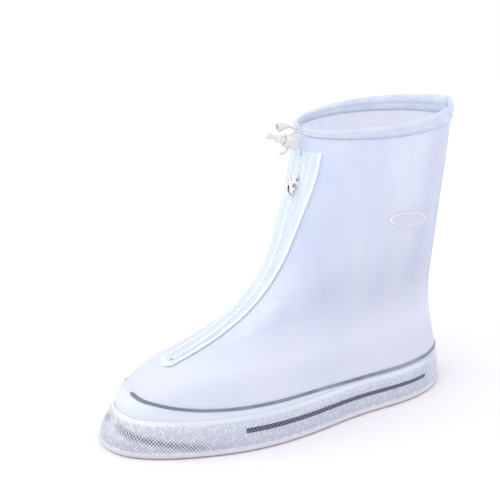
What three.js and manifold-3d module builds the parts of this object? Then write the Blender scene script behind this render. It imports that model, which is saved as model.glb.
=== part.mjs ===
// A reusable waterproof shoe cover for the left foot: a translucent film boot with a front zip,
// a drawstring hem with a cord lock, a clear sole wall and a thin tan outsole.
// Millimetres, +Z up. The toe points to -Y, the heel to +Y, and the outer side of the foot is +X.
import * as THREE from 'three';
import { mergeVertices } from 'three/addons/utils/BufferGeometryUtils.js';
import Module from 'manifold-3d';

// Driving dimensions
const footLength = 312;
const footWidth = 112;
const coverHeight = 240;
const ballBow = 4;
const toeLean = 1;
const filmThickness = 1.2;
const touchGap = 0.3;
const outsoleThickness = 2.6;
const outsoleInset = 1.6;
const soleFloorThickness = 2.6;
const soleWallThickness = 3.2;
const soleWallFlare = 6.8;
const heelFlareShare = 0.45;
const toeBumper = 6.7;
const bondLineHeight = 2.2;
const bondLineDepth = 1;
const stripHeight = 2.8;
const stripThickness = 0.7;
const stripFrontRise = 15.9;
const stripBackRise = 14.2;
const hemThickness = 4.8;
const hemWall = 0.9;
const hemSplit = 10;
const zipTapeHalfWidth = 22;
const zipChainWidth = 5;
const zipChainThickness = 1;
const sliderLength = 11;
const sliderWidth = 9;
const sliderPlate = 1.3;
const sliderLugWidth = 1.1;
const pinDiameter = 1.2;
const pinClearance = 0.3;
const pullLength = 14;
const pullWidth = 7.5;
const pullThickness = 1.3;
const eyeWall = 0.9;
const eyeWidth = 3.2;
const badgeWidth = 46;
const badgeHeight = 12;
const badgeThickness = 0.8;
const badgeTiltDegrees = 11;
const cordDiameter = 2;
const cordClearance = 0.3;
const lockDiameter = 11;
const lockLength = 12.5;
const lockAside = 2.5;
const lockOut = 11;
const lockDrop = 5.2;
const lockCrossing = 1;
const lockTiltDegrees = 21;
const buttonDiameter = 6.2;
const buttonReach = 20.5;
const buttonHeadDiameter = 6;
const buttonCollarDiameter = 7.6;
const buttonStroke = 2;
const buttonBridge = 1.7;
const boreClearance = 0.3;
const cordEndDiameter = 8;
const cordEndLength = 9;
const cordEndOut = 15.5;
const cordEndRise = 6.5;

// Rows of numbers under named columns
function table(columns, rows) {
  return rows.map((row) => Object.fromEntries(columns.map((name, i) => [name, row[i]])));
}

// Cross-sections from the sole wall to the rim. frontY and backY are shares of the foot length, frontZ
// and backZ of the height, half is the half width as a share of the foot width. widest is where along
// the section it is widest, waist how far the arch side draws in, nose and tail how round (below 1) or
// pinched (above 1) the ends are.
const sectionColumns = [
  'up', 'frontY', 'frontZ', 'backY', 'backZ', 'half', 'widest', 'waist', 'nose', 'tail',
];
const sections = table(sectionColumns, [
  [0.00, -0.458, 0.114, 0.468, 0.106, 0.474, 0.439, 0.13, 0.99, 0.80],
  [0.06, -0.454, 0.152, 0.465, 0.158, 0.443, 0.433, 0.12, 1.00, 0.80],
  [0.13, -0.419, 0.192, 0.458, 0.208, 0.418, 0.422, 0.10, 0.99, 0.82],
  [0.20, -0.375, 0.229, 0.452, 0.254, 0.395, 0.42, 0.07, 0.97, 0.86],
  [0.27, -0.304, 0.263, 0.449, 0.296, 0.376, 0.45, 0.04, 0.97, 0.90],
  [0.35, -0.213, 0.310, 0.447, 0.350, 0.362, 0.48, 0.02, 0.96, 0.95],
  [0.44, -0.131, 0.371, 0.449, 0.408, 0.352, 0.50, 0.00, 0.94, 1.00],
  [0.53, -0.069, 0.446, 0.455, 0.475, 0.348, 0.50, 0.00, 0.90, 1.05],
  [0.62, -0.024, 0.537, 0.465, 0.558, 0.348, 0.50, 0.00, 0.87, 1.12],
  [0.71, 0.006, 0.642, 0.478, 0.658, 0.353, 0.50, 0.00, 0.85, 1.20],
  [0.80, 0.029, 0.746, 0.490, 0.758, 0.362, 0.50, 0.00, 0.86, 1.28],
  [0.90, 0.048, 0.858, 0.500, 0.867, 0.375, 0.49, 0.00, 0.92, 1.36],
  [0.96, 0.058, 0.944, 0.505, 0.942, 0.383, 0.48, 0.00, 0.98, 1.42],
  [1.00, 0.061, 0.967, 0.508, 1.000, 0.386, 0.48, 0.00, 1.02, 1.45],
]);

// Half width of the zip tapes, as a share of their full half width, from their square low end to the hem
const tapeEdges = table(['up', 'share'], [
  [0.234, 0.03],
  [0.242, 0.33],
  [0.26, 0.37],
  [0.35, 0.40],
  [0.49, 0.45],
  [0.62, 0.56],
  [0.75, 0.74],
  [0.85, 0.90],
  [1.00, 1.00],
]);

// Soft folds of the film. side is +1 outside, -1 inside; around runs from the front (0) to the back (1);
// wide and tall are the fold's half lengths around and up; turn slants it; depth is in film thicknesses,
// inwards below 0.
const folds = table(['side', 'around', 'up', 'wide', 'tall', 'turn', 'depth'], [
  [1, 0.62, 0.50, 0.05, 0.16, -0.35, -1.6],
  [1, 0.50, 0.56, 0.06, 0.14, -0.25, 1.2],
  [1, 0.30, 0.62, 0.05, 0.16, 0.20, -1.2],
  [1, 0.80, 0.66, 0.05, 0.20, 0.10, -1.1],
  [1, 0.45, 0.30, 0.07, 0.10, -0.50, -1.3],
  [-1, 0.60, 0.50, 0.05, 0.16, -0.35, -1.6],
  [-1, 0.38, 0.58, 0.05, 0.15, 0.15, -1.2],
  [-1, 0.80, 0.68, 0.05, 0.20, 0.10, -1.1],
]);

// Sole wall outline from the floor up, outer face. out is a share of the flare, rise of the wall's height.
const wallFace = table(['out', 'rise'], [
  [0.85, 0.00],
  [1.05, 0.03],
  [1.05, 0.09],
  [0.97, 0.12],
  [0.77, 0.50],
  [0.62, 0.85],
  [0.45, 0.94],
  [0.30, 1.00],
]);

// The dark welt's height up the film, from beside the toe to the back of the heel
const bondPath = table(['around', 'up'], [
  [0.02, 0.109],
  [0.06, 0.106],
  [0.12, 0.097],
  [0.19, 0.085],
  [0.25, 0.068],
  [0.31, 0.051],
  [0.38, 0.039],
  [0.45, 0.034],
  [0.54, 0.029],
  [0.61, 0.019],
  [0.68, 0.017],
  [0.80, 0.018],
  [0.90, 0.024],
  [1.00, 0.030],
]);

// The hem tube's outline on the skin: out is a share of its thickness, rise a share of its height
const hemOutline = table(['out', 'rise'], [
  [0.28, 0.03],
  [0.46, 0.40],
  [0.30, 0.85],
  [-0.10, 1.00],
  [-0.44, 0.80],
  [-0.54, 0.40],
  [-0.40, 0.03],
]);

const seamedUp = 0.04;
const bondInnerStart = 0.12;
const stripTurns = [0.197, 0.402];
const zipLean = 0.2;
const hemLine = 0.96;
const sliderAt = 0.835;
const zipTopAt = 0.915;
const zipEndAt = 0.26;
const badgeAt = { around: 0.59, up: 0.705 };

// Heights at which the film's panels and tapes are cut across, and how many spans each has around
const panelLevels = [
  0, 0.02, 0.045, 0.085, 0.13, 0.18, 0.234, 0.242, 0.26, 0.29, 0.335, 0.385, 0.44, 0.50, 0.57, 0.65,
  0.73, 0.81, 0.89, hemLine - 0.002,
];
const panelColumns = 17;
const tapeColumns = 3;
const soleSteps = 72;
const hemSteps = 52;

// Cubic curves through the rows of a table, one for each column
function tableCurve(rows, key) {
  const names = Object.keys(rows[0]).filter((name) => name !== key);
  const curve = new THREE.CubicInterpolant(
    rows.map((row) => row[key]),
    rows.flatMap((row) => names.map((name) => row[name])),
    names.length,
  );
  return (at) => {
    const values = curve.evaluate(THREE.MathUtils.clamp(at, rows[0][key], rows.at(-1)[key]));
    return Object.fromEntries(names.map((name, i) => [name, values[i]]));
  };
}

const sectionAt = tableCurve(sections, 'up');
const tapeShareAt = tableCurve(tapeEdges, 'up');
const mix = THREE.MathUtils.lerp;
const bump = (distance) => Math.exp(-distance * distance);

// The foot's outline bows outwards at the ball and leans inwards at the toe, and both fade up the ankle
function centreX(y, up) {
  const share = y / footLength;
  const low = THREE.MathUtils.clamp(1 - up / 0.4, 0, 1);
  const toe = THREE.MathUtils.clamp(-(share + 0.2) / 0.3, 0, 1);
  return low * (ballBow * bump((share + 0.18) / 0.16) - toeLean * toe * toe);
}

// A point of a section: around is 0 at the front mid-line and 1 at the back one
function sectionPoint(side, around, up) {
  const s = sectionAt(up);
  const angle = Math.PI * THREE.MathUtils.clamp(around, 0, 1);
  const evenShare = (1 - Math.cos(angle)) / 2;
  const share = Math.pow(evenShare, Math.log(s.widest) / Math.log(0.5));
  const fullness = mix(s.nose, s.tail, evenShare);
  const waist = 1 - s.waist * bump((share - 0.66) / 0.16);
  const y = footLength * mix(s.frontY, s.backY, share);
  const z = coverHeight * mix(s.frontZ, s.backZ, share);
  const x = footWidth * s.half * Math.pow(Math.sin(angle), fullness) * waist;
  return new THREE.Vector3(centreX(y, up) + side * x, y, z);
}

function normalOf(surface, side, around, up) {
  const step = 0.004;
  const a = THREE.MathUtils.clamp(around, step, 1 - step);
  const b = THREE.MathUtils.clamp(up, step, 1 - step);
  const across = surface(side, a + step, b).sub(surface(side, a - step, b));
  const upward = surface(side, a, b + step).sub(surface(side, a, b - step));
  return across.cross(upward).normalize().multiplyScalar(side);
}

function foldHeight(side, around, up) {
  let sum = 0;
  for (const fold of folds) {
    if (fold.side !== side) continue;
    const tall = (up - fold.up) / fold.tall;
    const wide = (around - fold.around - fold.turn * (up - fold.up)) / fold.wide;
    sum += fold.depth * bump(wide) * bump(tall);
  }
  return sum * filmThickness;
}

// A point on the film's outer skin, or a distance outside it
function skin(side, around, up, out = 0) {
  const normal = normalOf(sectionPoint, side, around, up);
  if (around < 0.01 || around > 0.99) {
    normal.x = 0;
    normal.normalize();
  }
  normal.z *= THREE.MathUtils.smoothstep(up, 0, seamedUp);
  normal.normalize();
  return sectionPoint(side, around, up).addScaledVector(normal, out + foldHeight(side, around, up));
}

// Where around the section the skin is a given distance from the mid-line at the front
function aroundAtHalfWidth(halfWidth, up) {
  const s = sectionAt(up);
  const share = Math.min(1, halfWidth / (footWidth * s.half));
  return Math.asin(Math.pow(share, 1 / s.nose)) / Math.PI;
}

function tapeHalf(up) {
  return up < tapeEdges[0].up ? 0 : zipTapeHalfWidth * tapeShareAt(up).share;
}

// A closed mesh from points and triangles, its faces turned outwards
function solid(points, triangles) {
  let volume = 0;
  for (const [a, b, c] of triangles) volume += points[a].dot(points[b].clone().cross(points[c]));
  const faces = volume < 0 ? triangles.map(([a, b, c]) => [a, c, b]) : triangles;
  const geometry = new THREE.BufferGeometry();
  geometry.setAttribute('position', new THREE.Float32BufferAttribute(points.flatMap((p) => p.toArray()), 3));
  geometry.setIndex(faces.flat());
  return geometry;
}

const quad = (a, b, c, d) => [[a, b, c], [a, c, d]];

// A thick sheet between an outer and an inner grid of points
function sheet(outer, inner) {
  const rows = outer.length;
  const columns = outer[0].length;
  const at = (layer, i, j) => (layer * rows + i) * columns + j;
  const triangles = [];
  for (let i = 0; i < rows - 1; i++) {
    for (let j = 0; j < columns - 1; j++) {
      triangles.push(...quad(at(0, i, j), at(0, i, j + 1), at(0, i + 1, j + 1), at(0, i + 1, j)));
      triangles.push(...quad(at(1, i, j), at(1, i + 1, j), at(1, i + 1, j + 1), at(1, i, j + 1)));
    }
  }
  const edge = [];
  for (let j = 0; j < columns; j++) edge.push([0, j]);
  for (let i = 1; i < rows; i++) edge.push([i, columns - 1]);
  for (let j = columns - 2; j >= 0; j--) edge.push([rows - 1, j]);
  for (let i = rows - 2; i > 0; i--) edge.push([i, 0]);
  edge.forEach(([i, j], k) => {
    const [m, n] = edge[(k + 1) % edge.length];
    triangles.push(...quad(at(0, i, j), at(1, i, j), at(1, m, n), at(0, m, n)));
  });
  return solid([...outer.flat(), ...inner.flat()], triangles);
}

// A solid swept through rings of points: closed on itself, or with flat ends
function swept(rings, closed) {
  const sides = rings[0].length;
  const spans = closed ? rings.length : rings.length - 1;
  const triangles = [];
  for (let i = 0; i < spans; i++) {
    const next = ((i + 1) % rings.length) * sides;
    for (let j = 0; j < sides; j++) {
      const k = (j + 1) % sides;
      triangles.push(...quad(i * sides + j, i * sides + k, next + k, next + j));
    }
  }
  if (!closed) {
    const last = (rings.length - 1) * sides;
    for (let j = 1; j < sides - 1; j++) {
      triangles.push([0, j + 1, j]);
      triangles.push([last, last + j, last + j + 1]);
    }
  }
  return solid(rings.flat(), triangles);
}

// A tube with a hollow of the same section, open at both ends
function sweptTube(outer, inner) {
  const sides = outer[0].length;
  const count = outer.length;
  const at = (layer, i, j) => (layer * count + i) * sides + (j % sides);
  const triangles = [];
  for (let j = 0; j < sides; j++) {
    for (let i = 0; i < count - 1; i++) {
      triangles.push(...quad(at(0, i, j), at(0, i, j + 1), at(0, i + 1, j + 1), at(0, i + 1, j)));
      triangles.push(...quad(at(1, i, j), at(1, i + 1, j), at(1, i + 1, j + 1), at(1, i, j + 1)));
    }
    triangles.push(...quad(at(0, 0, j), at(1, 0, j), at(1, 0, j + 1), at(0, 0, j + 1)));
    const end = count - 1;
    triangles.push(...quad(at(0, end, j), at(0, end, j + 1), at(1, end, j + 1), at(1, end, j)));
  }
  return solid([...outer.flat(), ...inner.flat()], triangles);
}

// The whole way round the foot: turn 0 is the toe, 0.25 the outer side, 0.5 the heel
function sideOfTurn(turn) {
  const t = ((turn % 1) + 1) % 1;
  return t <= 0.5 ? [1, 2 * t] : [-1, 2 * (1 - t)];
}

// The film's foot outline, moved outwards in plan
function footOutline(turn, out) {
  const [side, around] = sideOfTurn(turn);
  const step = 0.002;
  const [sideA, aroundA] = sideOfTurn(turn - step);
  const [sideB, aroundB] = sideOfTurn(turn + step);
  const along = sectionPoint(sideB, aroundB, 0).sub(sectionPoint(sideA, aroundA, 0));
  const outward = new THREE.Vector3(along.y, -along.x, 0).normalize().negate();
  const point = sectionPoint(side, around, 0);
  if (outward.dot(new THREE.Vector3(point.x, point.y, 0)) < 0) outward.negate();
  return point.addScaledVector(outward, out);
}

const soleFloorBottom = outsoleThickness + touchGap;
const wallTopAt = (turn) => footOutline(turn, 0).z - touchGap;

// The toe end of the wall stands further out than its sides
function toeShare(turn) {
  const away = Math.min(Math.abs(turn % 1), 1 - Math.abs(turn % 1));
  return bump(away / 0.085);
}

// The wall draws in towards the heel
function flareAt(turn) {
  return mix(heelFlareShare, 1, THREE.MathUtils.smoothstep(Math.abs(turn - 0.5), 0.03, 0.13));
}

function wallPoint(turn, rise, out) {
  const bulge = toeBumper * toeShare(turn) * (1 - THREE.MathUtils.smoothstep(rise, 0.3, 0.87));
  const point = footOutline(turn, out * flareAt(turn) + bulge);
  point.z = mix(soleFloorBottom, wallTopAt(turn), rise);
  return point;
}

// The outer face of the wall at any rise, between the rows of its table
function wallOut(rise) {
  const above = Math.max(1, wallFace.findIndex((row) => row.rise >= rise));
  const [low, high] = [wallFace[above - 1], wallFace[above]];
  return soleWallFlare * mix(low.out, high.out, (rise - low.rise) / (high.rise - low.rise));
}

const turns = Array.from({ length: soleSteps }, (_, i) => i / soleSteps);

function outsole() {
  const ring = (z) => turns.map((turn) => {
    const bottom = wallPoint(turn, 0, soleWallFlare * wallFace[1].out - outsoleInset);
    return bottom.setZ(z);
  });
  const middle = new THREE.Vector3(0, 0, 0);
  const [low, high] = [ring(0), ring(outsoleThickness)];
  const points = [...low, ...high, middle, middle.clone().setZ(outsoleThickness)];
  const triangles = turns.flatMap((_, i) => {
    const j = (i + 1) % soleSteps;
    return [
      [2 * soleSteps, j, i],
      [2 * soleSteps + 1, soleSteps + i, soleSteps + j],
      ...quad(i, j, soleSteps + j, soleSteps + i),
    ];
  });
  return solid(points, triangles);
}

// The knurled wall with the sole's floor in one piece, open at the top
function soleCup() {
  const innerOut = -filmThickness - touchGap;
  const floorTop = soleFloorBottom + soleFloorThickness;
  const rings = turns.map((turn) => {
    const face = wallFace.map((row) => wallPoint(turn, row.rise, soleWallFlare * row.out));
    const top = footOutline(turn, innerOut).setZ(wallTopAt(turn));
    const inside = soleWallFlare * flareAt(turn) - soleWallThickness;
    const shoulder = footOutline(turn, inside).setZ(mix(floorTop, wallTopAt(turn), 0.8));
    const foot = footOutline(turn, inside).setZ(floorTop);
    return [...face, top, shoulder, foot];
  });
  const rows = rings[0].length;
  const middles = [soleFloorBottom, floorTop].map((z) => new THREE.Vector3(0, 0, z));
  const points = [...rings.flat(), ...middles];
  const [under, over] = [rings.length * rows, rings.length * rows + 1];
  const triangles = rings.flatMap((_, i) => {
    const next = ((i + 1) % rings.length) * rows;
    const faces = [[under, next, i * rows], [over, i * rows + rows - 1, next + rows - 1]];
    for (let j = 0; j < rows - 1; j++) {
      faces.push(...quad(i * rows + j, next + j, next + j + 1, i * rows + j + 1));
    }
    return faces;
  });
  return solid(points, triangles);
}

// The thin dark welt on the film above the wall, from beside the toe round the heel and back
function bondLine() {
  const steps = 60;
  const upAt = tableCurve(bondPath, 'around');
  const first = bondPath[0].around;
  const rings = Array.from({ length: steps + 1 }, (_, i) => {
    const [side, around] = sideOfTurn(mix(first, 2 - bondInnerStart, i / steps) / 2);
    const up = upAt(around).up;
    const ends = Math.min(1, 0.3 + Math.min(i, steps - i) / 8);
    const tall = (ends * bondLineHeight) / (coverHeight * (1 - sections[0].frontZ));
    const foot = 1.4 * touchGap;
    return [[foot, -1], [bondLineDepth, -1], [foot + bondLineDepth, 0], [bondLineDepth, 1], [foot, 1]]
      .map(([out, rise]) => skin(side, around, up + rise * tall / 2, out));
  });
  return swept(rings, false);
}

// A dark strip along the wall, from near the ball to near the heel
function sideStrip(side) {
  const steps = 24;
  const grid = (out) => [0, 1].map((row) => Array.from({ length: steps + 1 }, (_, i) => {
    const turn = mix(...stripTurns, i / steps);
    const height = wallTopAt(turn) - soleFloorBottom;
    const low = mix(stripFrontRise, stripBackRise, i / steps) - soleFloorBottom;
    const rise = (low + row * stripHeight) / height;
    const face = wallPoint(side > 0 ? turn : 1 - turn, rise, wallOut(rise));
    return face.addScaledVector(stripNormal(side, turn), out);
  }));
  return sheet(grid(touchGap + stripThickness), grid(touchGap));
}

// Straight out of the wall in plan
function stripNormal(side, turn) {
  const at = side > 0 ? turn : 1 - turn;
  return footOutline(at, 1).sub(footOutline(at, 0)).setZ(0).normalize();
}

// One side of the film upper, from the tape or toe seam to the back seam
function upperPanel(side) {
  const grid = (out) => panelLevels.map((up) => {
    const start = aroundAtHalfWidth(tapeHalf(up) + touchGap / 2, up);
    const end = 1 - aroundAtHalfWidth(touchGap, up);
    const spans = Array.from({ length: panelColumns + 1 }, (_, j) => j / panelColumns);
    return spans.map((span) => skin(side, mix(start, end, span), up, out));
  });
  return sheet(grid(0), grid(-filmThickness));
}

// A point in front, at a distance to the outer side of the mid-line
function frontPoint(sideways, up, out = 0) {
  return skin(sideways < 0 ? -1 : 1, aroundAtHalfWidth(Math.abs(sideways), up), up, out);
}

// The zip leans to the outer side of the mid-line, by a share of the tapes' width
const zipMiddle = (up) => zipLean * tapeHalf(up);

// One zip tape: the double film band between the chain and the panel's weld
function zipTape(side) {
  const levels = panelLevels.filter((up) => up >= tapeEdges[0].up);
  const grid = (out) => levels.map((up) => {
    const start = zipMiddle(up) + side * touchGap / 2;
    const end = side * Math.max(tapeHalf(up) - touchGap / 2, touchGap);
    const spans = Array.from({ length: tapeColumns + 1 }, (_, j) => j / tapeColumns);
    return spans.map((span) => frontPoint(mix(start, end, span), up, out));
  });
  return sheet(grid(0), grid(-filmThickness));
}

// A place on the zip: a point of the skin, the way up along it, the way straight out and the way across
function zipFrame(up) {
  const step = 0.01;
  const point = frontPoint(zipMiddle(up), up);
  const upward = frontPoint(zipMiddle(up), up + step).sub(frontPoint(zipMiddle(up), up - step)).normalize();
  const sideways = frontPoint(zipMiddle(up) + 1, up).sub(frontPoint(zipMiddle(up) - 1, up));
  const outward = sideways.cross(upward).normalize();
  return { point, upward, outward, across: upward.clone().cross(outward) };
}

function zipChain() {
  const levels = panelLevels.filter((up) => up >= zipEndAt && up < zipTopAt);
  const rings = [...levels, zipTopAt].map((up) => {
    const { point, outward, across } = zipFrame(up);
    return [[-1, 0], [1, 0], [0.7, 1], [-0.7, 1]].map(([aside, rise]) => point.clone()
      .addScaledVector(outward, 1.4 * touchGap + rise * zipChainThickness)
      .addScaledVector(across, aside * zipChainWidth / 2));
  });
  return swept(rings, false);
}

// The casing for the cord, open at both ends in front
function hemChannel() {
  const start = aroundAtHalfWidth(hemSplit / 2, 0.98);
  const ring = (turn, shrink) => {
    const [side, around] = sideOfTurn(turn);
    const middle = { out: -0.04, rise: 0.5 };
    return hemOutline.map((row) => {
      const [line, rim] = [sections.at(-2), sections.at(-1)];
      const height = coverHeight * mix(rim.frontZ - line.frontZ, rim.backZ - line.backZ, around);
      const out = row.out * hemThickness - shrink * Math.sign(row.out - middle.out);
      const rise = row.rise - (shrink / height) * Math.sign(row.rise - middle.rise) * 0.9;
      return skin(side, around, mix(hemLine, 1, rise), out);
    });
  };
  const around = Array.from({ length: hemSteps + 1 }, (_, i) => mix(start, 2 - start, i / hemSteps) / 2);
  return sweptTube(around.map((turn) => ring(turn, 0)), around.map((turn) => ring(turn, hemWall)));
}

const wasm = await Module();
wasm.setup();

function manifoldOf(geometry) {
  const bare = geometry.clone();
  bare.deleteAttribute('normal');
  bare.deleteAttribute('uv');
  const merged = mergeVertices(bare, 1e-4);
  return new wasm.Manifold(new wasm.Mesh({
    numProp: 3,
    vertProperties: merged.attributes.position.array,
    triVerts: new Uint32Array(merged.index.array),
  }));
}

function geometryOf(manifold) {
  const mesh = manifold.getMesh();
  const geometry = new THREE.BufferGeometry();
  geometry.setAttribute('position', new THREE.BufferAttribute(new Float32Array(mesh.vertProperties), 3));
  geometry.setIndex(new THREE.BufferAttribute(new Uint32Array(mesh.triVerts), 1));
  return geometry;
}

const joined = (...shapes) => geometryOf(shapes.map(manifoldOf).reduce((a, b) => a.add(b)));
const cutBy = (shape, ...cutters) => geometryOf(
  cutters.map(manifoldOf).reduce((a, b) => a.subtract(b), manifoldOf(shape)),
);

// A box with its middle at a point, and a cylinder along an axis from one place on it to another
const block = (x, y, z, w, d, h) => new THREE.BoxGeometry(w, d, h).translate(x, y, z);
const rod = (diameter, from, to, sides = 16) => new THREE.CylinderGeometry(
  diameter / 2, diameter / 2, to - from, sides,
).translate(0, (from + to) / 2, 0);

// Slider and pull are made lying in their own frame: x across, y up along the zip, z out of it
const plateFloor = 2.4 * touchGap + zipChainThickness;
const plateTop = plateFloor + sliderPlate;
const eyeDiameter = pinDiameter + 2 * (pinClearance + eyeWall);
const pinHeight = plateTop + touchGap + eyeDiameter / 2;
const pinUp = sliderLength * 0.2;
const lugInner = eyeWidth / 2 + pinClearance;

function zipSlider() {
  const outline = new THREE.Shape();
  const [w, l] = [sliderWidth / 2, sliderLength / 2];
  outline.moveTo(-w * 0.62, -l);
  outline.lineTo(w * 0.62, -l);
  outline.lineTo(w, l * 0.5);
  outline.quadraticCurveTo(w, l, w * 0.5, l);
  outline.lineTo(-w * 0.5, l);
  outline.quadraticCurveTo(-w, l, -w, l * 0.5);
  const plate = new THREE.ExtrudeGeometry(outline, {
    depth: sliderPlate,
    bevelEnabled: false,
    curveSegments: 3,
  }).translate(0, 0, plateFloor);
  const flangeInner = zipChainWidth / 2 + touchGap;
  const flangeDepth = plateFloor - touchGap;
  const shapes = [plate];
  for (const side of [-1, 1]) {
    const flangeWidth = w - flangeInner;
    shapes.push(block(side * (flangeInner + flangeWidth / 2), l * 0.25, touchGap + flangeDepth / 2 + 0.05,
      flangeWidth, l, flangeDepth + 0.1));
    const lug = lugInner + sliderLugWidth / 2;
    const lugHeight = pinHeight + pinDiameter - plateTop;
    shapes.push(block(side * lug, pinUp, plateTop + lugHeight / 2 - 0.05,
      sliderLugWidth, 3 * pinDiameter, lugHeight + 0.1));
  }
  const pin = rod(pinDiameter, -lugInner - 0.2, lugInner + 0.2, 20).rotateZ(Math.PI / 2);
  return joined(...shapes, pin.translate(0, pinUp, pinHeight));
}

function zipPull() {
  const eye = rod(eyeDiameter, -eyeWidth / 2, eyeWidth / 2, 20).rotateZ(Math.PI / 2);
  const stem = block(0, -eyeDiameter / 2 - 0.6, 0, eyeWidth * 0.8, eyeDiameter, pullThickness);
  const half = pullLength * 0.37;
  const oval = new THREE.Shape().absellipse(0, 0, pullWidth / 2, half, 0, 2 * Math.PI);
  oval.holes.push(new THREE.Path().absellipse(0, -half * 0.12, pullWidth * 0.24, half * 0.5, 0, 2 * Math.PI));
  const thick = { depth: pullThickness, bevelEnabled: false, curveSegments: 10 };
  const tab = new THREE.ExtrudeGeometry(oval, thick)
    .translate(0, half - pullLength + eyeDiameter / 2, -pullThickness / 2);
  const bore = rod(pinDiameter + 2 * pinClearance, -eyeWidth, eyeWidth, 20).rotateZ(Math.PI / 2);
  return cutBy(joined(eye, stem, tab), bore).translate(0, pinUp, pinHeight);
}

// The cord lock in its own frame: y along the button's push, pointing out; the cord crosses it along z
function lockBody() {
  const [r, l] = [lockDiameter / 2, lockLength / 2];
  const profile = [[0, -l], [r * 0.7, -l], [r, -l * 0.7], [r, l * 0.75], [r * 0.86, l], [0, l]];
  const barrel = new THREE.LatheGeometry(profile.map(([x, y]) => new THREE.Vector2(x, y)), 20);
  const cordSide = lockCrossing - cordDiameter / 2 - cordClearance;
  const boreEnd = cordSide - buttonBridge - buttonStroke - boreClearance;
  const bore = rod(buttonDiameter + 2 * boreClearance, boreEnd, lockLength, 20);
  const crossing = rod(cordDiameter + 2 * cordClearance, -lockDiameter, lockDiameter, 12).rotateX(Math.PI / 2)
    .translate(0, lockCrossing, 0);
  return cutBy(barrel, bore, crossing);
}

function lockButton() {
  const slotStart = lockCrossing - cordDiameter / 2 - cordClearance;
  const slotEnd = lockCrossing + cordDiameter / 2 + cordClearance + buttonStroke;
  const [shaft, collar, head] = [buttonDiameter / 2, buttonCollarDiameter / 2, buttonHeadDiameter / 2];
  const out = lockLength / 2 + buttonStroke + boreClearance;
  const centre = buttonReach;
  const profile = [
    [0, slotStart - buttonBridge], [shaft, slotStart - buttonBridge], [shaft, out + 1.6], [collar, out + 2.6],
    [collar, out + 4.6], [shaft * 0.5, out + 5.2], [head * 0.6, centre - head * 0.8], [head, centre],
    [head * 0.7, centre + head * 0.7], [0, centre + head],
  ];
  const button = new THREE.LatheGeometry(profile.map(([x, y]) => new THREE.Vector2(x, y)), 20);
  const slotWidth = cordDiameter + 2 * cordClearance;
  return cutBy(button, block(0, (slotStart + slotEnd) / 2, 0, slotWidth, slotEnd - slotStart, lockDiameter));
}

function cordEnd() {
  const [r, l] = [cordEndDiameter / 2, cordEndLength / 2];
  const profile = [[0, -l], [r * 0.5, -l], [r * 0.62, -l * 0.4], [r, l * 0.7], [r * 0.92, l], [0, l]];
  const bell = new THREE.LatheGeometry(profile.map(([x, y]) => new THREE.Vector2(x, y)), 18);
  const hollow = rod(cordEndDiameter * 0.62, l * 0.1, cordEndLength, 14);
  const bore = rod(cordDiameter + 2 * cordClearance, -cordEndLength, cordEndLength, 12);
  return cutBy(bell, hollow, bore);
}

// The badge: a plain raised oval laid on the skin
function badge() {
  const { around, up } = badgeAt;
  const step = 0.01;
  const perAround = skin(1, around + step, up).distanceTo(skin(1, around - step, up)) / (2 * step);
  const perUp = skin(1, around, up + step).distanceTo(skin(1, around, up - step)) / (2 * step);
  const sides = 28;
  const tilt = THREE.MathUtils.degToRad(-badgeTiltDegrees);
  const layer = (scale, out) => Array.from({ length: sides }, (_, i) => {
    const angle = (2 * Math.PI * i) / sides;
    const corner = new THREE.Vector2(badgeWidth / 2 * Math.cos(angle), badgeHeight / 2 * Math.sin(angle))
      .multiplyScalar(scale).rotateAround(new THREE.Vector2(), tilt);
    return skin(1, around + corner.x / perAround, up + corner.y / perUp, out);
  });
  const low = 1.4 * touchGap;
  const rings = [[0.02, low], [0.5, low], [1, low], [0.96, low + badgeThickness],
    [0.82, low + badgeThickness], [0.76, low + badgeThickness / 2], [0.02, low + badgeThickness / 2]];
  return swept(rings.map(([scale, out]) => layer(scale, out)), false);
}

// Where the lock and the cord's ends hang in front of the hem, from the front mid-line at the hem line
const front = skin(1, 0, hemLine);
const lockPlace = new THREE.Vector3(lockAside, front.y - lockOut, front.z - lockDrop);
const endPlace = new THREE.Vector3(-lockAside, front.y - cordEndOut, front.z + cordEndRise);
const lockTilt = THREE.MathUtils.degToRad(lockTiltDegrees);

// In the lock's frame, moved to where it hangs
function atLock(x, y, z) {
  return new THREE.Vector3(x, y, z).applyEuler(new THREE.Euler(lockTurn, 0, 0)).add(lockPlace);
}
const lockTurn = Math.PI - lockTilt;

// The drawcord: its tail, up through the lock, round inside the hem and out to its bell
function cordRoute() {
  const first = aroundAtHalfWidth(hemSplit / 2 + 1, 0.98);
  const inHem = Array.from({ length: hemSteps + 1 }, (_, i) => {
    const [side, around] = sideOfTurn(mix(first, 2 - first, i / hemSteps) / 2);
    return skin(side, around, mix(hemLine, 1, 0.48), -0.05 * hemThickness);
  });
  const [start, end] = [inHem[0], inHem.at(-1)];
  return [
    atLock(0, lockCrossing + 3 * cordDiameter, 0.92 * lockLength),
    atLock(0, lockCrossing + 0.6 * cordDiameter, 0.72 * lockLength),
    atLock(0, lockCrossing, 0.48 * lockLength),
    atLock(0, lockCrossing, 0),
    atLock(0, lockCrossing, -0.48 * lockLength),
    new THREE.Vector3(0.88 * lockAside, start.y - lockOut / 2, start.z - 0.4 * cordDiameter),
    new THREE.Vector3(1.16 * lockAside, start.y - 0.8 * cordDiameter, start.z),
    ...inHem,
    new THREE.Vector3(-1.16 * lockAside, end.y - 0.8 * cordDiameter, end.z),
    new THREE.Vector3(-lockAside, end.y - lockOut / 2, end.z + 0.1 * cordDiameter),
    new THREE.Vector3(-lockAside, endPlace.y + cordEndLength / 2, endPlace.z),
    new THREE.Vector3(-lockAside, endPlace.y, endPlace.z),
  ];
}

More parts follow.
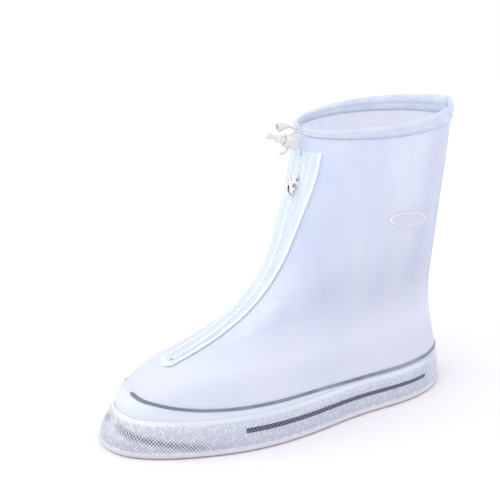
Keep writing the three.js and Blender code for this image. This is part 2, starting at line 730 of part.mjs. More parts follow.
function drawcord() {
  const section = new THREE.Shape().absarc(0, 0, cordDiameter / 2, 0, 2 * Math.PI);
  return new THREE.ExtrudeGeometry(section, {
    steps: 90,
    curveSegments: 3,
    bevelEnabled: false,
    extrudePath: new THREE.CatmullRomCurve3(cordRoute()),
  });
}

const group = new THREE.Group();
const colours = {
  film: { color: 0xdce4f4, roughness: 0.35, metalness: 0 },
  tape: { color: 0xeef6ff, roughness: 0.4, metalness: 0 },
  clear: { color: 0xcfd6e2, roughness: 0.25, metalness: 0 },
  line: { color: 0x6c7488, roughness: 0.6, metalness: 0 },
  strip: { color: 0x30364c, roughness: 0.6, metalness: 0 },
  tan: { color: 0xc3aa8c, roughness: 0.7, metalness: 0 },
  white: { color: 0xf6f7fa, roughness: 0.4, metalness: 0 },
  cord: { color: 0xf2f3f6, roughness: 0.9, metalness: 0 },
  metal: { color: 0xa7abb0, roughness: 0.3, metalness: 0.9 },
};

function add(name, geometry, colour, parent = group) {
  const mesh = new THREE.Mesh(geometry, new THREE.MeshStandardMaterial(colours[colour]));
  mesh.name = name;
  parent.add(mesh);
  return mesh;
}

add('outsole', outsole(), 'tan');
add('sole_cup', soleCup(), 'clear');
add('bond_line', bondLine(), 'line');
add('side_strip_outer', sideStrip(1), 'strip');
add('side_strip_inner', sideStrip(-1), 'strip');
add('upper_outer', upperPanel(1), 'film');
add('upper_inner', upperPanel(-1), 'film');
add('zip_tape_outer', zipTape(1), 'tape');
add('zip_tape_inner', zipTape(-1), 'tape');
add('zip_chain', zipChain(), 'white');
add('hem_channel', hemChannel(), 'film');
add('side_badge', badge(), 'clear');
add('drawcord', drawcord(), 'cord');

// The zip's slider and pull stand on the chain, turned to lie along it
const zip = new THREE.Group();
const sliderFrame = zipFrame(sliderAt);
zip.applyMatrix4(new THREE.Matrix4().makeBasis(sliderFrame.across, sliderFrame.upward, sliderFrame.outward)
  .setPosition(sliderFrame.point));
add('zip_slider', zipSlider(), 'metal', zip);
add('zip_pull', zipPull(), 'metal', zip);
group.add(zip);

const lock = new THREE.Group();
lock.position.copy(lockPlace);
lock.rotation.x = lockTurn;
add('cord_lock_body', lockBody(), 'white', lock);
add('cord_lock_button', lockButton(), 'white', lock);
group.add(lock);

const bell = add('cord_end', cordEnd(), 'white');
bell.position.copy(endPlace);
bell.rotation.x = Math.PI;

// The origin is the middle of the bounding box, on the floor
const box = new THREE.Box3().setFromObject(group);
const middle = box.getCenter(new THREE.Vector3());
group.position.set(-middle.x, -middle.y, -box.min.z);

export default group;
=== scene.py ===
# A reusable waterproof shoe cover for the left foot, made of frosted vinyl film over a knurled sole
import math

import bpy
import numpy as np
from mathutils import Matrix, Vector


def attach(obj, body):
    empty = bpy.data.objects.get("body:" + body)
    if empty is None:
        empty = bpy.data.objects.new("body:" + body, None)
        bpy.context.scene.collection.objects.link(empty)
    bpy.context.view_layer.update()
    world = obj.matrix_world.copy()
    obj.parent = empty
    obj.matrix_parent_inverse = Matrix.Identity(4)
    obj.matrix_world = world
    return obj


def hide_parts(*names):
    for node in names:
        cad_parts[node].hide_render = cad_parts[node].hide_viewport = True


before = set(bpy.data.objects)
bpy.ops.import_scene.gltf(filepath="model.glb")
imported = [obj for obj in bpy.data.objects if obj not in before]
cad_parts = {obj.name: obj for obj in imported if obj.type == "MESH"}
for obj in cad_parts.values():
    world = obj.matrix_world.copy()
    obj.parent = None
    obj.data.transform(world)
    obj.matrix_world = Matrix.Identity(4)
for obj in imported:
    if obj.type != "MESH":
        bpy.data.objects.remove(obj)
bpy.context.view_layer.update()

MM = 0.001
JOIN_DISTANCE = 0.005 * MM
SMOOTH_ANGLE = math.radians(50)

# The last that the cover is shaped over, in millimetres, with its own middle beside the frame's origin
LAST_MIDDLE = np.array([-2.957, -1.705, 0.0])
FOOT_LENGTH = 312.0
FOOT_WIDTH = 112.0
COVER_HEIGHT = 240.0
BALL_BOW = 4.0
TOE_LEAN = 1.0
HEM_LINE = 0.96
HEM_MIDDLE = 0.98
HEM_SPLIT = 10.0
FILM_THICKNESS = 0.9
FOLDED_THICKNESS = 0.5
STRIP_THICKNESS = 0.4
LINE_THICKNESS = 0.25
BADGE_THICKNESS = 0.4

# Cross-sections from the sole wall to the rim, as shares of the foot's length and width and of the cover's height
SECTIONS = np.array([
    # up, front y, front z, back y, back z, half width, widest, waist, nose, tail
    (0.00, -0.458, 0.114, 0.468, 0.106, 0.474, 0.439, 0.13, 0.99, 0.80),
    (0.06, -0.454, 0.152, 0.465, 0.158, 0.443, 0.433, 0.12, 1.00, 0.80),
    (0.13, -0.419, 0.192, 0.458, 0.208, 0.418, 0.422, 0.10, 0.99, 0.82),
    (0.20, -0.375, 0.229, 0.452, 0.254, 0.395, 0.42, 0.07, 0.97, 0.86),
    (0.27, -0.304, 0.263, 0.449, 0.296, 0.376, 0.45, 0.04, 0.97, 0.90),
    (0.35, -0.213, 0.310, 0.447, 0.350, 0.362, 0.48, 0.02, 0.96, 0.95),
    (0.44, -0.131, 0.371, 0.449, 0.408, 0.352, 0.50, 0.00, 0.94, 1.00),
    (0.53, -0.069, 0.446, 0.455, 0.475, 0.348, 0.50, 0.00, 0.90, 1.05),
    (0.62, -0.024, 0.537, 0.465, 0.558, 0.348, 0.50, 0.00, 0.87, 1.12),
    (0.71, 0.006, 0.642, 0.478, 0.658, 0.353, 0.50, 0.00, 0.85, 1.20),
    (0.80, 0.029, 0.746, 0.490, 0.758, 0.362, 0.50, 0.00, 0.86, 1.28),
    (0.90, 0.048, 0.858, 0.500, 0.867, 0.375, 0.49, 0.00, 0.92, 1.36),
    (0.96, 0.058, 0.944, 0.505, 0.942, 0.383, 0.48, 0.00, 0.98, 1.42),
    (1.00, 0.061, 0.967, 0.508, 1.000, 0.386, 0.48, 0.00, 1.02, 1.45),
])

# Half width of the zip's band down from the hem, as a share of its full half width
BAND_HALF = 22.0
BAND_EDGES = np.array([
    # up, share
    (0.234, 0.03), (0.242, 0.33), (0.26, 0.37), (0.35, 0.40), (0.49, 0.45),
    (0.62, 0.56), (0.75, 0.74), (0.85, 0.90), (1.00, 1.00),
])
ZIP_LEAN = 0.2

# Soft folds of the film: its side, where around and up, half lengths, slant, and depth in millimetres
FOLDS = np.array([
    # side, around, up, wide, tall, turn, depth
    (1, 0.62, 0.50, 0.05, 0.16, -0.35, -1.9),
    (1, 0.50, 0.56, 0.06, 0.14, -0.25, 1.4),
    (1, 0.30, 0.62, 0.05, 0.16, 0.20, -1.4),
    (1, 0.80, 0.66, 0.05, 0.20, 0.10, -1.3),
    (1, 0.45, 0.30, 0.07, 0.10, -0.50, -1.6),
    (-1, 0.60, 0.50, 0.05, 0.16, -0.35, -1.9),
    (-1, 0.38, 0.58, 0.05, 0.15, 0.15, -1.4),
    (-1, 0.80, 0.68, 0.05, 0.20, 0.10, -1.3),
])

# The sole wall, clear of the floor on its thin outsole, flares outwards and bulges round the toe
WALL_FLARE = 6.8
HEEL_FLARE = 0.45
TOE_BUMPER = 6.7
SOLE_BOTTOM = 2.9
SOLE_FLOOR = 5.5
OUTSOLE_THICKNESS = 2.6
WALL_GAP = 0.3
WALL_FACE = np.array([
    # rise, out
    (0.00, 0.85), (0.03, 1.05), (0.09, 1.05), (0.12, 0.97),
    (0.50, 0.77), (0.85, 0.62), (0.94, 0.45), (1.00, 0.30),
])

# The grey line's height up the film, from the toe to the back of the heel
LINE_PATH = np.array([
    # around, up
    (0.02, 0.109), (0.06, 0.106), (0.12, 0.097), (0.19, 0.085), (0.25, 0.068), (0.31, 0.051), (0.38, 0.039),
    (0.45, 0.034), (0.54, 0.029), (0.61, 0.019), (0.68, 0.017), (0.80, 0.018), (0.90, 0.024), (1.00, 0.030),
])


def tone(red, green, blue):
    """A colour as a screen shows it, from 0 to 255, for a material."""
    linear = (((c / 255 + 0.055) / 1.055) ** 2.4 if c > 10 else c / 3295 for c in (red, green, blue))
    return (*linear, 1.0)


def curve_through(rows, at):
    """Smooth curves through a table: the first column is where, and each other column is one curve."""
    where, values = rows[:, 0], rows[:, 1:]
    at = np.clip(np.asarray(at, float), where[0], where[-1])
    low = np.clip(np.searchsorted(where, at, side="right") - 1, 0, len(where) - 2)
    high = low + 1
    first, last = low == 0, high == len(where) - 1
    before, after = np.where(first, high, low - 1), np.where(last, low, np.minimum(high + 1, len(where) - 1))
    half = (where[high] - where[low]) / 2
    lead = half / (where[low] - where[before])
    trail = half / (where[after] - where[high])
    p = (at - where[low]) / (2 * half)
    weights = (
        (before, -lead * p**3 + 2 * lead * p**2 - lead * p),
        (low, (1 + lead) * p**3 - (1.5 + 2 * lead) * p**2 + (lead - 0.5) * p + 1),
        (high, -(1 + trail) * p**3 + (1.5 + trail) * p**2 + 0.5 * p),
        (after, trail * p**3 - trail * p**2),
    )
    return sum(values[row] * weight[..., None] for row, weight in weights)


def smooth(value, low, high):
    """0 below low and 1 above high, smooth between them."""
    share = np.clip((value - low) / (high - low), 0, 1)
    return share * share * (3 - 2 * share)


def bump(distance):
    """A soft hump, 1 in its middle and near 0 from a distance of 2."""
    return np.exp(-distance * distance)


def mix(a, b, share):
    return a + (b - a) * share


def on_last(side, around, up):
    """A point of the last: around is 0 at the front mid-line and 1 at the back one."""
    section = np.moveaxis(curve_through(SECTIONS, up), -1, 0)
    front_y, front_z, back_y, back_z, half, widest, waist, nose, tail = section
    angle = np.pi * np.clip(around, 0, 1)
    even = (1 - np.cos(angle)) / 2
    share = even ** (np.log(widest) / np.log(0.5))
    narrow = 1 - waist * bump((share - 0.66) / 0.16)
    y = FOOT_LENGTH * mix(front_y, back_y, share)
    z = COVER_HEIGHT * mix(front_z, back_z, share)
    x = FOOT_WIDTH * half * np.abs(np.sin(angle)) ** mix(nose, tail, even) * narrow
    along = y / FOOT_LENGTH
    toe = np.clip(-(along + 0.2) / 0.3, 0, 1)
    bow = np.clip(1 - up / 0.4, 0, 1) * (BALL_BOW * bump((along + 0.18) / 0.16) - TOE_LEAN * toe**2)
    return np.stack([bow + side * x, y, z], -1)


def outward(side, around, up):
    """The last's outward direction, level at its foot and along the mid-line at its front and back."""
    step = 0.004
    a, b = np.clip(around, step, 1 - step), np.clip(up, step, 1 - step)
    across = on_last(side, a + step, b) - on_last(side, a - step, b)
    upward = on_last(side, a, b + step) - on_last(side, a, b - step)
    normal = np.cross(across, upward) * side[..., None]
    normal[..., 0] *= smooth(np.minimum(around, 1 - around), 0.0, 0.01)
    normal[..., 2] *= smooth(up, 0, 0.04)
    return normal / np.linalg.norm(normal, axis=-1, keepdims=True)


def fold_height(side, around, up):
    """How far the film's soft folds stand out, in millimetres."""
    total = np.zeros_like(up)
    for fold_side, at, level, wide, tall, turn, depth in FOLDS:
        across = (around - at - turn * (up - level)) / wide
        total += (side == fold_side) * depth * bump(across) * bump((up - level) / tall)
    return total


def ripple(around, up):
    """Small uneven waves of the film, a slow one around the leg and shorter ones where it is gathered."""
    slow = 0.30 * np.sin(19 * around + 2.2 * np.sin(4.1 * up) + 0.7) * smooth(up, 0.15, 0.5)
    slant = 0.22 * np.sin(31 * around - 15 * up + 1.4 * np.sin(9 * around)) * bump((up - 0.5) / 0.25)
    gathers = np.sin(88 * around + 1.9 * np.sin(17 * around)) * (0.6 + 0.4 * np.sin(23 * around + 1.0))
    deep = 0.16 + 0.5 * smooth(around, 0.8, 1.0) + 0.3 * smooth(around, 0.3, 0.1)
    near_hem = bump((HEM_LINE - up) / 0.045) * deep
    creases = 0.30 * np.sin(95 * up + 8 * around + 1.1 * np.sin(21 * around)) * bump((up - 0.45) / 0.13)
    return slow + slant + gathers * near_hem + creases * bump((around - 0.22) / 0.13)


def on_film(side, around, up, out=0.0):
    """A point of the film, folds and ripples included, in metres in the frame."""
    side, around, up = (np.asarray(v, float) for v in np.broadcast_arrays(side, around, up))
    height = out + fold_height(side, around, up) + ripple(around, up)
    return (on_last(side, around, up) + outward(side, around, up) * height[..., None] + LAST_MIDDLE) * MM


def around_at(half_width, up):
    """Where around the leg the film is a given distance from the front mid-line."""
    half, nose = curve_through(SECTIONS, up)[..., 4], curve_through(SECTIONS, up)[..., 7]
    return np.arcsin(np.minimum(1, half_width / (FOOT_WIDTH * half)) ** (1 / nose)) / np.pi


def band_half(up):
    """Half the zip band's width, in millimetres."""
    return np.where(up < BAND_EDGES[0, 0], 0.0, BAND_HALF * curve_through(BAND_EDGES, up)[..., 0])


def side_of(turn):
    """The side and the place around it of a turn: 0 is the toe, 0.25 the outer side and 0.5 the heel."""
    turn = np.asarray(turn, float) % 1
    return np.where(turn <= 0.5, 1.0, -1.0), np.where(turn <= 0.5, 2 * turn, 2 * (1 - turn))


def foot_line(turn, out):
    """The film's foot outline, moved outwards in plan."""
    step = 0.002
    zero = np.zeros_like(turn)
    along = on_last(*side_of(turn + step), zero) - on_last(*side_of(turn - step), zero)
    away = np.stack([-along[..., 1], along[..., 0], zero], -1)
    point = on_last(*side_of(turn), zero)
    away *= np.sign(np.sum(away * point * [1, 1, 0], -1))[..., None]
    away /= np.linalg.norm(away, axis=-1, keepdims=True)
    return point + away * np.asarray(out)[..., None], away


def on_wall(turn, rise, out):
    """A point beside the sole wall at a height, an amount outside the film's foot."""
    turn, rise, out = (np.asarray(v, float) for v in np.broadcast_arrays(turn, rise, out))
    away = np.minimum(turn % 1, 1 - turn % 1)
    bulge = TOE_BUMPER * bump(away / 0.085) * (1 - smooth(rise, 0.3, 0.87))
    heel = mix(HEEL_FLARE, 1, smooth(np.abs(turn % 1 - 0.5), 0.03, 0.13))
    point, _ = foot_line(turn, out * heel + bulge)
    point[..., 2] = mix(SOLE_BOTTOM, point[..., 2] - WALL_GAP, rise)
    return (point + LAST_MIDDLE) * MM


def deselect():
    if bpy.context.object and bpy.context.object.mode != "OBJECT":
        bpy.ops.object.mode_set(mode="OBJECT")
    bpy.ops.object.select_all(action="DESELECT")


def take(piece):
    """Makes a piece the only selected one."""
    deselect()
    bpy.context.view_layer.objects.active = piece
    piece.select_set(True)
    return piece


def named(name):
    """The primitive that was just added, under its piece's name."""
    piece = bpy.context.object
    piece.name = piece.data.name = name
    return piece


def apply_all(piece):
    take(piece)
    for modifier in list(piece.modifiers):
        bpy.ops.object.modifier_apply(modifier=modifier.name)
    return piece


def face_outwards(piece):
    """Closes a piece at its joins and turns its faces out."""
    take(piece)
    bpy.ops.object.mode_set(mode="EDIT")
    bpy.ops.mesh.select_all(action="SELECT")
    bpy.ops.mesh.remove_doubles(threshold=JOIN_DISTANCE)
    bpy.ops.mesh.normals_make_consistent(inside=False)
    bpy.ops.object.mode_set(mode="OBJECT")
    return piece


def laid(name, columns, rows, place):
    """A flat grid whose points are laid out by their shares across and up."""
    deselect()
    bpy.ops.mesh.primitive_grid_add(x_subdivisions=columns, y_subdivisions=rows, size=1, calc_uvs=True)
    piece = named(name)
    flat = np.array([v.co[:2] for v in piece.data.vertices]) + 0.5
    piece.data.vertices.foreach_set("co", place(flat[:, 0], flat[:, 1]).ravel())
    piece.data.update()
    return piece


def shares(columns, rows):
    """The shares across and up of a laid grid's points, in their order."""
    across, up = np.meshgrid(np.linspace(0, 1, columns + 1), np.linspace(0, 1, rows + 1))
    return across.ravel(), up.ravel()


def give_thickness(piece, thickness):
    """Makes an open sheet a closed wall, on its inner side."""
    wall = piece.modifiers.new("wall", "SOLIDIFY")
    wall.thickness, wall.offset, wall.use_even_offset = thickness * MM, -1.0, False
    return apply_all(piece)


# The stretch that surely lies inside the boot, in metres: from the toe to the heel, and up to the ankle
INSIDE_TOE, INSIDE_HEEL, INSIDE_TOP = -0.12, 0.13, 0.1


def leg_middle(point):
    """A point inside the boot at about the same height, which outer faces point away from."""
    along = max(INSIDE_TOE, min(point[1], INSIDE_HEEL))
    return Vector((LAST_MIDDLE[0] * MM, along, min(point[2] * 0.8, INSIDE_TOP)))


def outer_side_out(piece):
    """Turns an open sheet so that its faces point away from the inside of the boot."""
    faces = list(piece.data.polygons)[::37]
    if sum((f.center - leg_middle(f.center)).dot(f.normal) for f in faces) < 0:
        take(piece)
        bpy.ops.object.mode_set(mode="EDIT")
        bpy.ops.mesh.select_all(action="SELECT")
        bpy.ops.mesh.flip_normals()
        bpy.ops.object.mode_set(mode="OBJECT")
    return piece


def done(piece, body, slot, finish, *nodes):
    """Smooths a piece, gives it its finish, hangs it on its body and hides the CAD nodes that it replaces."""
    take(piece)
    bpy.ops.object.shade_smooth_by_angle(angle=SMOOTH_ANGLE)
    piece.data.materials.clear()
    piece.data.materials.append(finish)
    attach(piece, body)
    if nodes:
        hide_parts(*nodes)
    return piece


class Wire:
    """A number's socket, so that shader maths reads as sums."""

    def __init__(self, finish, socket):
        self.finish, self.socket = finish, socket

    def sum(self, operation, a, b=0.0, **settings):
        return Wire(self.finish, self.finish.node("ShaderNodeMath", {"operation": operation, **settings},
                                                  {0: a, 1: b}).outputs[0])

    def __add__(self, other):
        return self.sum("ADD", self, other)

    __radd__ = __add__

    def __sub__(self, other):
        return self.sum("SUBTRACT", self, other)

    def __rsub__(self, other):
        return self.sum("SUBTRACT", other, self)

    def __mul__(self, other):
        return self.sum("MULTIPLY", self, other)

    __rmul__ = __mul__

    def held(self):
        """The number, kept from 0 to 1."""
        return self.sum("ADD", self, 0.0, use_clamp=True)

    def step(self, low, high):
        """0 below low and 1 above high, smooth between them."""
        node = self.finish.node("ShaderNodeMapRange", {"interpolation_type": "SMOOTHSTEP"},
                                {"Value": self, "From Min": low, "From Max": high})
        return Wire(self.finish, node.outputs["Result"])


class Finish:
    """A material under construction."""

    def __init__(self, name, **sockets):
        self.material = bpy.data.materials.new(name)
        self.material.use_nodes = True
        self.tree = self.material.node_tree
        self.shader = self.tree.nodes["Principled BSDF"]
        self.set(self.shader, sockets)

    def set(self, node, values):
        for name, value in values.items():
            socket = node.inputs[name.replace("_", " ") if isinstance(name, str) else name]
            if isinstance(value, Wire):
                value = value.socket
            if isinstance(value, bpy.types.NodeSocket):
                self.tree.links.new(value, socket)
            else:
                socket.default_value = value

    def node(self, kind, settings=None, values=None):
        node = self.tree.nodes.new(kind)
        for name, value in (settings or {}).items():
            setattr(node, name, value)
        self.set(node, values or {})
        return node

    def place(self):
        """Object coordinates in millimetres."""
        metres = self.node("ShaderNodeTexCoord").outputs["Object"]
        scaled = self.node("ShaderNodeVectorMath", {"operation": "SCALE"}, {0: metres, "Scale": 1 / MM})
        return scaled.outputs[0]

    def grain(self, size, detail=2.0, stretch=(1.0, 1.0, 1.0)):
        """Noise with features of a size in millimetres, from 0 to 1."""
        vector = self.node("ShaderNodeVectorMath", {"operation": "MULTIPLY"},
                           {0: self.place(), 1: tuple(s / size for s in stretch)}).outputs[0]
        noise = self.node("ShaderNodeTexNoise", values={"Vector": vector, "Scale": 1.0, "Detail": detail})
        return Wire(self, noise.outputs[0])

    def kept(self, name):
        """A number that is kept at each of the mesh's points."""
        return Wire(self, self.node("ShaderNodeAttribute", {"attribute_name": name}).outputs["Fac"])

    def blend(self, share, a, b):
        """One colour passing into another."""
        node = self.node("ShaderNodeMix", {"data_type": "RGBA"})
        for name, value in (("Factor_Float", share), ("A_Color", a), ("B_Color", b)):
            socket = next(s for s in node.inputs if s.identifier == name)
            if isinstance(value, Wire):
                value = value.socket
            if isinstance(value, bpy.types.NodeSocket):
                self.tree.links.new(value, socket)
            else:
                socket.default_value = value
        return next(s for s in node.outputs if s.identifier == "Result_Color")

    def relief(self, height, depth):
        """Bump from a height wire, as deep as depth millimetres."""
        node = self.node("ShaderNodeBump", values={"Strength": 1.0, "Distance": depth * MM, "Height": height})
        return node.outputs["Normal"]

    def wear(self, **sockets):
        self.set(self.shader, sockets)
        return self.material


def keep(piece, name, values):
    """Keeps a number at each of a mesh's points, which its finish reads."""
    attribute = piece.data.attributes.new(name, "FLOAT", "POINT")
    attribute.data.foreach_set("value", np.asarray(values, np.float32))


# Finishes

def film_finish():
    """Frosted vinyl film: pale blue, a little cloudy, clearer and whiter below the grey line, with painted bluish
    shade towards the front and painted shade along the back edge.
    """
    f = Finish("frosted_film", IOR=1.45, Coat_Roughness=0.2, Sheen_Weight=0.12, Sheen_Roughness=0.4)
    cloud = f.grain(38, 2.0, (1, 1, 0.5))
    fine = f.grain(0.9, 1.0)
    around, low, below, seam_and_edge_shade = (f.kept(name) for name in ("around", "low", "below", "seam_and_edge_shade"))
    # bluer at the front and greyer towards the back: painted bluish shade on the front
    base = f.blend(around.step(0.05, 0.75), tone(217, 230, 254), tone(226, 230, 245))
    base = f.blend(cloud.step(0.35, 0.7) * 0.6, base, tone(236, 239, 252))
    base = f.blend(low * 0.85, base, tone(232, 236, 251))
    base = f.blend(below, base, tone(232, 237, 249))
    # painted shade along the back edge, darker and bluer over a band wider than the back seam
    base = f.blend(seam_and_edge_shade * 0.8, base, tone(190, 202, 234))
    return f.wear(
        Base_Color=base,
        Roughness=0.32 + 0.14 * cloud,
        Coat_Weight=0.15 + 0.2 * cloud,
        Alpha=(0.40 + 0.10 * cloud + 0.38 * low + 0.10 * below + 0.3 * seam_and_edge_shade).held(),
        Normal=f.relief(fine, 0.04),
    )


def band_finish():
    """The zip's double band: milkier than the film, bright along its edge weld, partly the weld and partly a
    painted highlight, with a painted highlight on its middle crease and painted shade in its dips.
    """
    f = Finish("milky_band", IOR=1.45, Coat_Weight=0.25, Coat_Roughness=0.15)
    cloud = f.grain(16, 2.0, (1, 1, 0.3))
    weld, shaded_dip = f.kept("weld"), f.kept("shaded_dip")
    base = f.blend(cloud.step(0.3, 0.7), tone(228, 241, 252), tone(238, 248, 254))
    # painted shade in the band's dips
    base = f.blend(shaded_dip * 0.35, base, tone(214, 228, 246))
    # the bright weld is partly the weld line and partly a painted highlight, with a painted highlight on the
    # middle crease
    base = f.blend(weld, base, tone(250, 253, 255))
    return f.wear(
        Base_Color=base,
        Roughness=0.38 - 0.12 * weld,
        Alpha=(0.62 + 0.1 * cloud + 0.28 * weld).held(),
        Normal=f.relief(f.grain(0.9, 1.0), 0.04),
    )


def hem_finish():
    """The folded hem: doubled film with a thin grey weld line along its foot."""
    f = Finish("hem_film", IOR=1.45, Coat_Weight=0.2, Coat_Roughness=0.2)
    cloud = f.grain(14, 2.0)
    weld = f.kept("weld")
    base = f.blend(cloud.step(0.3, 0.7), tone(226, 236, 255), tone(240, 246, 255))
    base = f.blend(weld, base, tone(172, 182, 210))
    return f.wear(
        Base_Color=base,
        Roughness=0.34 + 0.1 * cloud,
        Alpha=(0.42 + 0.4 * weld).held(),
        Normal=f.relief(f.grain(0.9, 1.0), 0.04),
    )


def wall_finish():
    """Clear grey vinyl of the sole wall: painted glints on its crests, painted shade in its hollows, and a
    painted shadow darkest in an arc round the toe.
    """
    f = Finish("knurled_vinyl", IOR=1.48, Coat_Roughness=0.1)
    dot, rise, painted_shadow, plain, heel = (f.kept(name) for name in ("knurl", "rise", "painted_shadow", "plain", "heel"))
    # hollow and crest: painted shade in the knurl's hollows, darker towards the bottom, and a painted highlight
    # on its crests
    height = rise.step(0.1, 0.8)
    hollow = f.blend(height, tone(180, 184, 201), tone(213, 218, 234))
    hollow = f.blend(heel, hollow, tone(184, 193, 216))
    # painted shadow darkens the hollows, then the crests and the lip, most in the arc round the toe
    hollow = f.blend(painted_shadow, hollow, tone(84, 85, 100))
    # painted glints scattered over the crests
    glint = f.grain(2.6, 0.0).step(0.50, 0.62)
    crest = f.blend(glint, tone(216, 220, 233), tone(248, 249, 254))
    crest = f.blend(painted_shadow * 0.35, crest, tone(158, 160, 176))
    # the knurl's height picks painted highlight on the crests and painted shade in the hollows
    base = f.blend((dot.step(0.22, 0.80) + 0.3 * (f.grain(9, 3.0) - 0.5)).held(), hollow, crest)
    base = f.blend(heel * 0.6, base, tone(192, 202, 226))
    lip = f.blend(painted_shadow, tone(224, 227, 238), tone(150, 153, 170))
    pale = f.blend(rise.step(0.4, 0.6), lip, f.blend(heel, tone(233, 237, 248), tone(216, 223, 240)))
    base = f.blend(plain, base, pale)
    return f.wear(
        Base_Color=base,
        Roughness=0.30 - 0.14 * dot,
        Coat_Weight=0.25 + 0.3 * dot,
        Alpha=(0.86 + 0.12 * painted_shadow).held(),
        Normal=f.relief(f.grain(0.7, 1.0), 0.03),
    )


def plain_finish(name, colour, darker, roughness, grain_size, depth, **more):
    """A moulded or rubber finish of one colour, mottled a little at its own grain."""
    f = Finish(name, **more)
    cloud = f.grain(grain_size * 8, 2.0)
    fine = f.grain(grain_size, 2.0)
    return f.wear(
        Base_Color=f.blend(cloud.step(0.25, 0.75), colour, darker),
        Roughness=roughness + 0.12 * (fine - 0.5),
        Normal=f.relief(fine, depth),
    )


def strip_finish():
    """The dark strip as it shows through the knurl: navy, with a painted highlight on the knurl's crests."""
    f = Finish("dark_strip", Coat_Weight=0.3, Coat_Roughness=0.2)
    dot = f.kept("knurl")
    # paler crests: painted highlight over the navy
    base = f.blend(dot.step(0.45, 0.95), tone(34, 38, 60), tone(158, 164, 186))
    return f.wear(Base_Color=base, Roughness=0.45 + 0.1 * f.grain(1.5), Normal=f.relief(f.grain(0.8), 0.03))


def line_finish():
    """The soft grey line: crisp at the toe, paler and softer towards the heel, fading at both its edges."""
    f = Finish("grey_line", Coat_Weight=0.2, Coat_Roughness=0.3)
    soft = f.kept("soft")
    dark = f.blend(f.grain(24), tone(94, 102, 122), tone(122, 131, 153))
    base = f.blend(soft * f.grain(24).step(0.3, 0.6), dark, tone(150, 159, 181))
    cover = (1 - f.kept("edge")) * (1.5 - 0.55 * soft)
    return f.wear(Base_Color=base, Roughness=0.5, Alpha=cover.held(), Normal=f.relief(f.grain(0.8), 0.03))


def cord_finish():
    """A white braided cord, with painted shade between its strands."""
    f = Finish("braided_cord")
    # painted shade in the grooves between the strands
    base = f.blend(f.kept("strand"), tone(196, 197, 206), tone(244, 243, 244))
    return f.wear(Base_Color=base, Roughness=0.8 + 0.1 * f.grain(0.5), Normal=f.relief(f.grain(0.3), 0.05))


def metal_finish():
    """The zip's die-cast silver metal: bright, with dark patches of painted reflection laid out by noise."""
    f = Finish("silver_with_painted_reflections", Metallic=1.0)
    painted_reflection = f.grain(2.4, 2.0, (1, 1, 0.35))
    # painted reflection: noise picks the dark patches on the bright silver
    base = f.blend(painted_reflection.step(0.36, 0.46), tone(60, 62, 68), tone(244, 245, 247))
    return f.wear(
        Base_Color=base,
        Roughness=0.22 + 0.2 * f.grain(0.8, 2.0),
        Normal=f.relief(f.grain(0.4), 0.02),
    )


def badge_finish():
    """The badge's clear vinyl, whiter on its rim."""
    f = Finish("clear_badge", IOR=1.45, Coat_Weight=0.4, Coat_Roughness=0.1)
    rim = f.kept("rim")
    base = f.blend(rim, tone(235, 237, 248), tone(244, 245, 251))
    return f.wear(Base_Color=base, Roughness=0.3 - 0.1 * rim, Alpha=(0.45 + 0.35 * rim).held(),
                  Normal=f.relief(f.grain(1.1, 2.0), 0.06))


FILM = film_finish()
BAND = band_finish()
HEM = hem_finish()
WALL = wall_finish()
STRIP = strip_finish()
LINE = line_finish()
CORD = cord_finish()
METAL = metal_finish()
BADGE = badge_finish()
TAN = plain_finish("tan_rubber", tone(204, 172, 150), tone(178, 144, 120), 0.62, 0.8, 0.06)
PALE = plain_finish("pale_vinyl", tone(238, 240, 250), tone(230, 233, 246), 0.45, 1.2, 0.03)
WHITE = plain_finish("cream_plastic", tone(232, 229, 230), tone(220, 217, 220), 0.34, 0.6, 0.015,
                     Coat_Weight=0.3, Coat_Roughness=0.15)
TEETH = plain_finish("zip_nylon", tone(240, 244, 250), tone(222, 230, 242), 0.4, 0.5, 0.02)


# Film upper

def line_up(around):
    """How far up the film the grey line runs."""
    return curve_through(LINE_PATH, around)[..., 0]


# The zip band's top end, the weld across its foot, and where its two halves part above that weld
BAND_TOP = 0.925
BAND_FOOT_WELD = 0.246
BAND_PARTS = (0.25, 0.262)


def film_panel(side, name, node):
    """One side of the upper, from under the band or the toe weld to the back weld."""
    def layout(u, v):
        up = mix(0.0, HEM_LINE + 0.004, v)
        return mix(around_at(1.0, up) * smooth(up, 0.24, 0.255), 1.0, u), up

    def place(u, v):
        around, up = layout(u, v)
        seam_and_edge_shade = 0.8 * bump((1 - around) / 0.008) + 0.6 * bump(around / 0.008) * (up < 0.22)
        return on_film(side, around, up, seam_and_edge_shade)

    columns, rows = 150, 150
    piece = laid(name, columns, rows, place)
    around, up = layout(*shares(columns, rows))
    keep(piece, "around", around)
    low = (1 - smooth(up, 0.2, 0.58)) * mix(0.72, 1, smooth(up, 0.1, 0.25))
    instep = 0.85 * (1 - smooth(around, 0.12, 0.38)) * smooth(up, 0.2, 0.3) * (1 - smooth(up, 0.55, 0.72))
    # back: the band of painted edge shade beside the back seam
    back = smooth(around, 0.83, 0.94) * (1 - 0.4 * smooth(around, 0.94, 1.0))
    keep(piece, "low", np.maximum(low, instep))
    keep(piece, "below", smooth(line_up(around) - up, -0.004, 0.006))
    keep(piece, "seam_and_edge_shade", back * smooth(up, 0.06, 0.2))
    outer_side_out(piece)
    give_thickness(piece, FILM_THICKNESS)
    return done(piece, "cover", "film", FILM, node)


